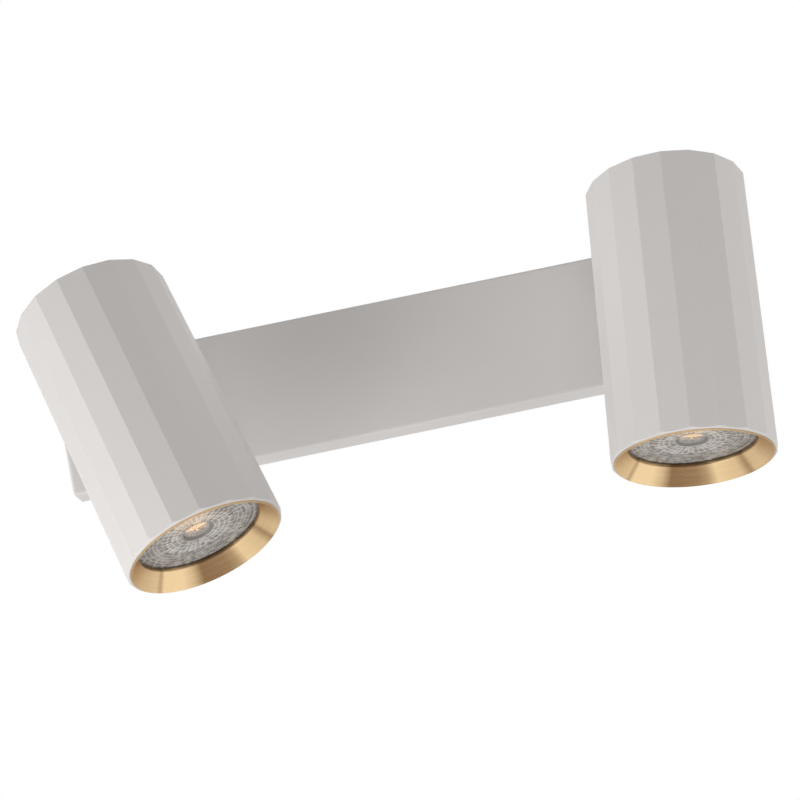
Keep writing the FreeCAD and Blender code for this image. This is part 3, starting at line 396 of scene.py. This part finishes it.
def brass_finish(name, turn):
    """Brushed brass: hair-fine marks round the cone, and a painted reflection of light and dark
    fan-shaped bands across it, which are turned back by the given degrees."""
    material, tree, shader = new_finish(name)
    map_uv = add(tree, "ShaderNodeUVMap", uv_map="round_and_along").outputs["UV"]
    split = add(tree, "ShaderNodeSeparateXYZ", {0: map_uv})
    turned = maths(tree, "FRACT", maths(tree, "ADD", split.outputs[0], turn / 360))
    painted_fans = add(tree, "ShaderNodeValToRGB", {0: turned})
    ramp = painted_fans.color_ramp
    ramp.elements.remove(ramp.elements[1])
    ramp.elements[0].color = (PAINTED_REFLECTION_FANS[0][1],) * 3 + (1,)
    for degrees, shade in PAINTED_REFLECTION_FANS[1:] + [(360, PAINTED_REFLECTION_FANS[0][1])]:
        ramp.elements.new(degrees / 360).color = (shade, shade, shade, 1)
    hair_place = add(tree, "ShaderNodeVectorMath", {0: map_uv, 1: HAIRS}, operation="MULTIPLY")
    hair = add(
        tree,
        "ShaderNodeTexNoise",
        {"Vector": hair_place.outputs[0], "Scale": 1.0, "Detail": 3.0},
    ).outputs["Fac"]
    streak = maths(tree, "MULTIPLY_ADD", hair, HAIR_SHADE, -HAIR_SHADE / 2)
    # the painted reflection, plus the real brushing marks
    shade = maths(tree, "ADD", painted_fans.outputs["Color"], streak, use_clamp=True)
    bump = add(
        tree, "ShaderNodeBump", {"Strength": 0.5, "Distance": HAIR_RELIEF, "Height": hair}
    )
    tangent = add(tree, "ShaderNodeTangent", direction_type="UV_MAP", uv_map="round_and_along")
    plug(
        tree,
        shader,
        {
            # painted reflection: the colour runs from BRASS_DARK to BRASS with the painted bands
            # and the hairs
            "Base Color": between(tree, shade, BRASS_DARK, BRASS),
            "Roughness": maths(tree, "MULTIPLY_ADD", hair, HAIR_ROUGHNESS, BRASS_ROUGHNESS),
            "Normal": bump.outputs[0],
            "Tangent": tangent.outputs[0],
            "Metallic": 1.0,
            "Anisotropic": 0.5,
        },
    )
    return material


# the right ring's painted reflection is turned by three degrees
for side, turn in (("left", 0), ("right", 3)):
    rise = np.linspace(0, 1, len(RING_PROFILE))
    finish = brass_finish(f"brushed_brass_painted_reflection_{side}", turn)
    ring = surface(
        f"{side}_trim_cone",
        turned_grid(RING_PROFILE),
        rise,
        head_place(side),
        [finish],
        close_ends=True,
    )
    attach(ring, f"{side}_head")
    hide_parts(f"{side}_trim_ring")

# ---------------------------------------------------------------- lamps
# A 50 mm reflector lamp in each head: a moulded shell, a clear optic and, at the bottom of the
# bowl, a yellow emitter. The optic has a dished centre over its collimator, rows of square prisms
# round that, and finer rows of pillows out to a plain rim.
SHELL = (0.42, 0.42, 0.42)
shell = grained("lamp_shell", SHELL, roughness=0.35)
dress(shell, *both("lamp_body"))
CERAMIC = (0.80, 0.77, 0.70)
ceramic = grained("holder_ceramic", CERAMIC, roughness=0.6, grain=0.0007)
dress(ceramic, *both("lamp_holder"))
# the chip's orange is its phosphor's own colour; its faint emission is a painted glow, not the
# lamp's light
CHIP = (0.95, 0.50, 0.10)
CHIP_PAINTED_GLOW = (1.0, 0.5, 0.1, 1)
chip = grained(
    "chip_phosphor",
    CHIP,
    roughness=0.5,
    grain=0.0008,
    Emission_Color=CHIP_PAINTED_GLOW,
    Emission_Strength=0.35,
)
dress(chip, *both("led_chip"))

LENS_FACE = 0.0071
LENS_RADIUS = 0.0242
DISH_RADIUS = 0.005
PETALS, PETAL_HEIGHT, PETAL_REACH = 7, 0.0003, 0.0048
STEPS_PER_ROW = 6
HAIRBREADTH = 1e-9
# the two belts of cells: their radii, rows, cells in a row, height and turn of every second row in
# cells, then their plain painted shade and how far rings, spokes and each cell's chance add painted
# highlights
PRISMS = {
    "start": 0.0064,
    "end": 0.0140,
    "rows": 4,
    "count": 36,
    "height": 0.00030,
    "shift": 0.0,
    "shade": -0.08,
    "painted_highlight_gains": {"Rings": 0.55, "Spokes": 0.65, "Chance": 0.5},
}
PILLOWS = {
    "start": 0.0142,
    "end": 0.0234,
    "rows": 6,
    "count": 90,
    "height": 0.00014,
    "shift": 0.5,
    "shade": -0.1,
    "painted_highlight_gains": {"Rings": 0.4, "Spokes": 0.1, "Chance": 0.45},
}
# radii of the rows of points in the dish and on its land, and in the rim
DISH_STEPS = [0.0, 0.0012, 0.0024, 0.0036, 0.0048, 0.0050, 0.0056, 0.0060]
RIM_STEPS = [0.0238, LENS_RADIUS]
# radius and depth behind the lens face of the dish, its land, the prisms, the pillows and the rim
LENS_BASE = [
    (0, 0.0011),
    (0.0048, 0.0010),
    (0.0056, 0.0),
    (0.0136, -0.0002),
    (0.0142, 0.0002),
    (LENS_RADIUS - 0.0004, 0.0),
    (LENS_RADIUS, 0.00025),
]
# radius and depth behind the mouth of the edge, the back and the collimator round the emitter
LENS_BACK = [
    (LENS_RADIUS, 0.0096),
    (0.0136, 0.0096),
    (0.0136, 0.0097),
    (0.0070, 0.0200),
    (0.0056, 0.0200),
    (0.0044, 0.0108),
    (0.0, 0.0102),
]
BACK_RISE = (1.1, 2)
# the places of the optic's finishes in its list, and the rows of faces at its end that carry a
# painted glow
CLEAR, CELLED, GLOW = 0, 1, 2
GLOW_ROWS = 2
EDGE_SHARPNESS = 4.0


def lens_front():
    """The optic's face: a depth that follows the dish with its seven petals, land and rim, less
    rows of domed cells. A petal's height is a cosine round the dish times a half sine from its
    middle to its edge. In each cell the height is the product of a parabola across the row and one
    round it, and every second row of the outer pillows is turned by half a cell."""
    belts = [
        np.linspace(belt["start"], belt["end"], belt["rows"] * STEPS_PER_ROW + 1)
        for belt in (PRISMS, PILLOWS)
    ]
    radius = np.concatenate([DISH_STEPS, *belts, RIM_STEPS])
    base = np.interp(radius, *zip(*LENS_BASE))
    angle = np.arange(ROUND) * 2 * np.pi / ROUND
    radius, angle = radius[:, None], angle[None, :]
    reach = np.clip(radius / PETAL_REACH, 0, 1)
    petals = PETAL_HEIGHT * np.cos(PETALS * angle) * np.sin(reach * np.pi)
    depth = LENS_FACE + base[:, None] + petals
    for belt in (PRISMS, PILLOWS):
        start, end, rows = belt["start"], belt["end"], belt["rows"]
        along = (radius - start) / (end - start) * rows
        inside = (along >= -HAIRBREADTH) & (along <= rows + HAIRBREADTH)
        row = np.clip(np.floor(along - HAIRBREADTH), 0, rows - 1)
        across = 2 * (along - row) - 1
        turn = (angle * belt["count"] / (2 * np.pi) + belt["shift"] * (row % 2)) % 1.0
        round_cell = 2 * turn - 1
        dome = (1 - across**2) * (1 - round_cell**2)
        depth = depth - np.where(inside, belt["height"] * dome, 0)
    return radius * np.cos(angle), radius * np.sin(angle), depth


def lens_skin():
    """The whole optic as one grid: its face from the middle to the rim, then its edge, back and
    collimator. The rise is the distance from the axis over the lens radius, and carries on past one
    at the back. The dish is clear, and the floor over the emitter is painted orange and given a
    painted glow."""
    front = lens_front()
    grids = [np.concatenate(halves) for halves in zip(front, turned_grid(LENS_BACK))]
    face_rise = np.hypot(front[0][:, 0], front[1][:, 0]) / LENS_RADIUS
    rise = np.concatenate([face_rise, np.linspace(*BACK_RISE, len(LENS_BACK))])
    centre = rise[:-1] * LENS_RADIUS < DISH_RADIUS
    finish_rows = np.where(centre, CLEAR, CELLED)
    # painted glow on the optic's floor over the emitter
    finish_rows[-GLOW_ROWS:] = GLOW
    return grids, rise, finish_rows[:, None]


def cell_effect():
    """Rows of cells round a disc, from a map of turn and rise: how near a point is to the rings
    and the spokes between the cells, a shade picked at random for each cell, and where the rows
    are."""
    tree, given, out = effect_group(
        "ringed_cells",
        {"Map": None, "Start": 0.2, "End": 0.6, "Rows": 6.0, "Count": 45.0, "Shift": 0.0},
        {label: "Float" for label in ("Rings", "Spokes", "Chance", "Inside")},
    )
    turn, rise, _ = add(tree, "ShaderNodeSeparateXYZ", {0: given["Map"]}).outputs
    width = maths(tree, "SUBTRACT", given["End"], given["Start"])
    along = maths(tree, "DIVIDE", maths(tree, "SUBTRACT", rise, given["Start"]), width)
    inside = maths(
        tree,
        "MULTIPLY",
        maths(tree, "GREATER_THAN", along, 0.0),
        maths(tree, "LESS_THAN", along, 1.0),
    )
    along = maths(tree, "MULTIPLY", along, given["Rows"])
    row = maths(tree, "FLOOR", along)
    odd = maths(tree, "MULTIPLY", maths(tree, "FLOORED_MODULO", row, 2.0), given["Shift"])
    round_it = maths(tree, "ADD", maths(tree, "MULTIPLY", turn, given["Count"]), odd)
    cell = maths(tree, "FLOORED_MODULO", maths(tree, "FLOOR", round_it), given["Count"])
    place = add(tree, "ShaderNodeCombineXYZ", {0: row, 1: cell}).outputs[0]
    chance = add(tree, "ShaderNodeTexWhiteNoise", {"Vector": place}, noise_dimensions="2D")

    def edges(value):
        """One where a count of cells is whole, at their edges, and nothing in their middles."""
        from_middle = maths(tree, "MULTIPLY_ADD", maths(tree, "FRACT", value), 2.0, -1.0)
        return maths(tree, "POWER", maths(tree, "ABSOLUTE", from_middle), EDGE_SHARPNESS)

    plug(
        tree,
        out,
        {
            "Rings": edges(along),
            "Spokes": edges(round_it),
            "Chance": chance.outputs["Value"],
            "Inside": inside,
        },
    )
    return tree


CELLS = cell_effect()
# painted shade: the plain level of the lens's colour outside its cells; CELL_DARK and CELL_BRIGHT
# are the painted dark and the painted highlight of the clear plastic
RIM_SHADE = 0.24
CELL_DARK = (0.115, 0.105, 0.098)
CELL_BRIGHT = (0.97, 0.935, 0.89)
PLASTIC_IOR = 1.49


def celled_lens():
    """The moulded optic: clear plastic, with painted highlights on its cell edges and a painted
    shade picked at random for each cell, standing in for the glints and the dark seen in it."""
    material, tree, shader = new_finish("lens_plastic")
    map_uv = add(tree, "ShaderNodeUVMap", uv_map="round_and_along").outputs["UV"]
    light = RIM_SHADE
    for belt in (PRISMS, PILLOWS):
        cells = add(
            tree,
            "ShaderNodeGroup",
            {
                "Map": map_uv,
                "Start": belt["start"] / LENS_RADIUS,
                "End": belt["end"] / LENS_RADIUS,
                "Rows": belt["rows"],
                "Count": belt["count"],
                "Shift": belt["shift"],
            },
            node_tree=CELLS,
        ).outputs
        part = belt["shade"]
        for label, gain in belt["painted_highlight_gains"].items():
            part = maths(tree, "MULTIPLY_ADD", cells[label], gain, part)
        light = maths(tree, "MULTIPLY_ADD", part, cells["Inside"], light)
    plug(
        tree,
        shader,
        {
            # painted highlights and painted shade in the clear plastic's colour
            "Base Color": between(tree, light, CELL_DARK, CELL_BRIGHT),
            "Roughness": 0.12,
            "Transmission Weight": 0.45,
            "IOR": PLASTIC_IOR,
        },
    )
    return material


DISH = (0.94, 0.94, 0.93)
dish = grained(
    "lens_clear",
    DISH,
    roughness=0.05,
    grain=0.0015,
    tint=0.03,
    Transmission_Weight=0.72,
    IOR=PLASTIC_IOR,
)
# painted glow: the clear floor of the optic over the emitter is coloured the emitter's orange and
# made to glow, though it gives no light
LENS_FLOOR_PAINTED_ORANGE = (0.95, 0.60, 0.25)
LENS_PAINTED_GLOW = (1.0, 0.62, 0.25, 1)
lens_floor = grained(
    "lens_painted_glow",
    LENS_FLOOR_PAINTED_ORANGE,
    roughness=0.5,
    tint=0.2,
    Emission_Color=LENS_PAINTED_GLOW,
    Emission_Strength=0.6,
)
lens_finishes = [dish, celled_lens(), lens_floor]
for side in SIDES:
    grids, rise, finish_rows = lens_skin()
    optic = surface(
        f"{side}_prism_lens",
        grids,
        rise,
        head_place(side),
        lens_finishes,
        smooth=False,
        finish_rows=finish_rows,
    )
    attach(optic, f"{side}_head")
    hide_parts(f"{side}_lamp_lens")

# ---------------------------------------------------------------- stage: floor, lamps and camera
# A plain pale floor well under the light, soft lamps at a plain level, and the camera at the place
# and angle that the photograph was taken from, below the light and looking up at it.
FLOOR_DROP = 0.6
FLOOR_REACH = 8
# how much of plain white the floor shows in reflections and to the camera
FLOOR_MIRRORED, FLOOR_SEEN = 0.95, 0.6
floor_mesh = bpy.data.meshes.new("floor")
floor_mesh.from_pydata(
    [
        (x * FLOOR_REACH, y * FLOOR_REACH, -FLOOR_DROP)
        for x, y in ((-1, -1), (1, -1), (1, 1), (-1, 1))
    ],
    [],
    [(0, 1, 2, 3)],
)
floor = bpy.data.objects.new("floor", floor_mesh)
bpy.context.scene.collection.objects.link(floor)
FLOOR = (0.82, 0.82, 0.82)
floor_finish = grained("floor_finish", FLOOR, roughness=0.8, grain=0.003, tint=0.01)
floor_tree = floor_finish.node_tree


def seen_rays(tree, *kinds):
    """One for rays of the given kinds, else nothing."""
    path = add(tree, "ShaderNodeLightPath").outputs
    seen = path[kinds[0]]
    for kind in kinds[1:]:
        seen = maths(tree, "MAXIMUM", seen, path[kind])
    return seen


mirrored = seen_rays(floor_tree, "Is Glossy Ray", "Is Transmission Ray")
share = maths(floor_tree, "MULTIPLY", mirrored, FLOOR_MIRRORED)
direct = seen_rays(floor_tree, "Is Camera Ray")
share = maths(floor_tree, "MULTIPLY_ADD", direct, FLOOR_SEEN, share)
pale = add(floor_tree, "ShaderNodeEmission", {"Color": (1, 1, 1, 1), "Strength": 1.0}).outputs[0]
lit = floor_tree.nodes["Principled BSDF"].outputs[0]
mixed = add(floor_tree, "ShaderNodeMixShader", {0: share, 1: lit, 2: pale}).outputs[0]
plug(floor_tree, floor_tree.nodes["Material Output"], {"Surface": mixed})
floor_mesh.materials.append(floor_finish)

AMBIENT = 0.2
world = bpy.data.worlds.new("studio")
bpy.context.scene.world = world
world.use_nodes = True
sky = world.node_tree
sky.nodes.clear()
ambient, white = [
    add(sky, "ShaderNodeBackground", {"Color": (1, 1, 1, 1), "Strength": strength}).outputs[0]
    for strength in (AMBIENT, 1.0)
]
seen = seen_rays(sky, "Is Camera Ray", "Is Glossy Ray", "Is Transmission Ray")
mixed = add(sky, "ShaderNodeMixShader", {0: seen, 1: ambient, 2: white}).outputs[0]
add(sky, "ShaderNodeOutputWorld", {"Surface": mixed})


def soft_lamp(name, place, aim, width, power):
    """A square area lamp at place that faces aim."""
    data = bpy.data.lights.new(name, "AREA")
    data.shape = "SQUARE"
    data.size = width
    data.energy = power
    lamp = bpy.data.objects.new(name, data)
    lamp.location = place
    lamp.rotation_euler = (Vector(aim) - Vector(place)).to_track_quat("-Z", "Y").to_euler()
    lamp.visible_camera = False
    bpy.context.scene.collection.objects.link(lamp)
    return lamp


# wide lamps round the light, and small ones under the heads that the brass doesn't mirror
MIDDLE = (0, -0.03, -0.02)
WIDE, NARROW = 0.9, 0.25
for name, place, power in (
    ("left_front", (-1.299, -0.78, -0.02), 5.2),
    ("left_high", (-1.299, -0.03, 0.73), 5.3),
    ("front_high", (0.0, -1.329, 0.73), 3.8),
    ("right_high", (1.299, -0.03, 0.73), 5.4),
):
    soft_lamp(name, place, MIDDLE, WIDE, power)
for name, place, aim, power in (
    ("left_low", (-0.35, -0.30, -0.42), (-0.105, -0.03, 0), 1.4),
    ("right_low", (0.45, -0.30, -0.42), (0.135, -0.03, 0), 1.15),
):
    soft_lamp(name, place, aim, NARROW, power).visible_glossy = False

CAMERA_PLACE = Vector((-0.02879, -0.717077, -0.173594))
CAMERA_FORWARD = Vector((0.013989, 0.985964, 0.166374))
CAMERA_UP = Vector((0.202587, -0.165734, 0.965138))
CAMERA_RIGHT = CAMERA_FORWARD.cross(CAMERA_UP)
camera_data = bpy.data.cameras.new("camera")
camera_data.sensor_width = 36
camera_data.lens = 80.947
camera_data.shift_x = 0.02003
camera_data.shift_y = 0.12973
camera_data.clip_start = 0.01
camera = bpy.data.objects.new("camera", camera_data)
facing = Matrix((CAMERA_RIGHT, CAMERA_UP, -CAMERA_FORWARD)).transposed().to_4x4()
camera.matrix_world = Matrix.Translation(CAMERA_PLACE) @ facing
bpy.context.scene.collection.objects.link(camera)
bpy.context.scene.camera = camera
bpy.context.scene.view_settings.view_transform = "Standard"
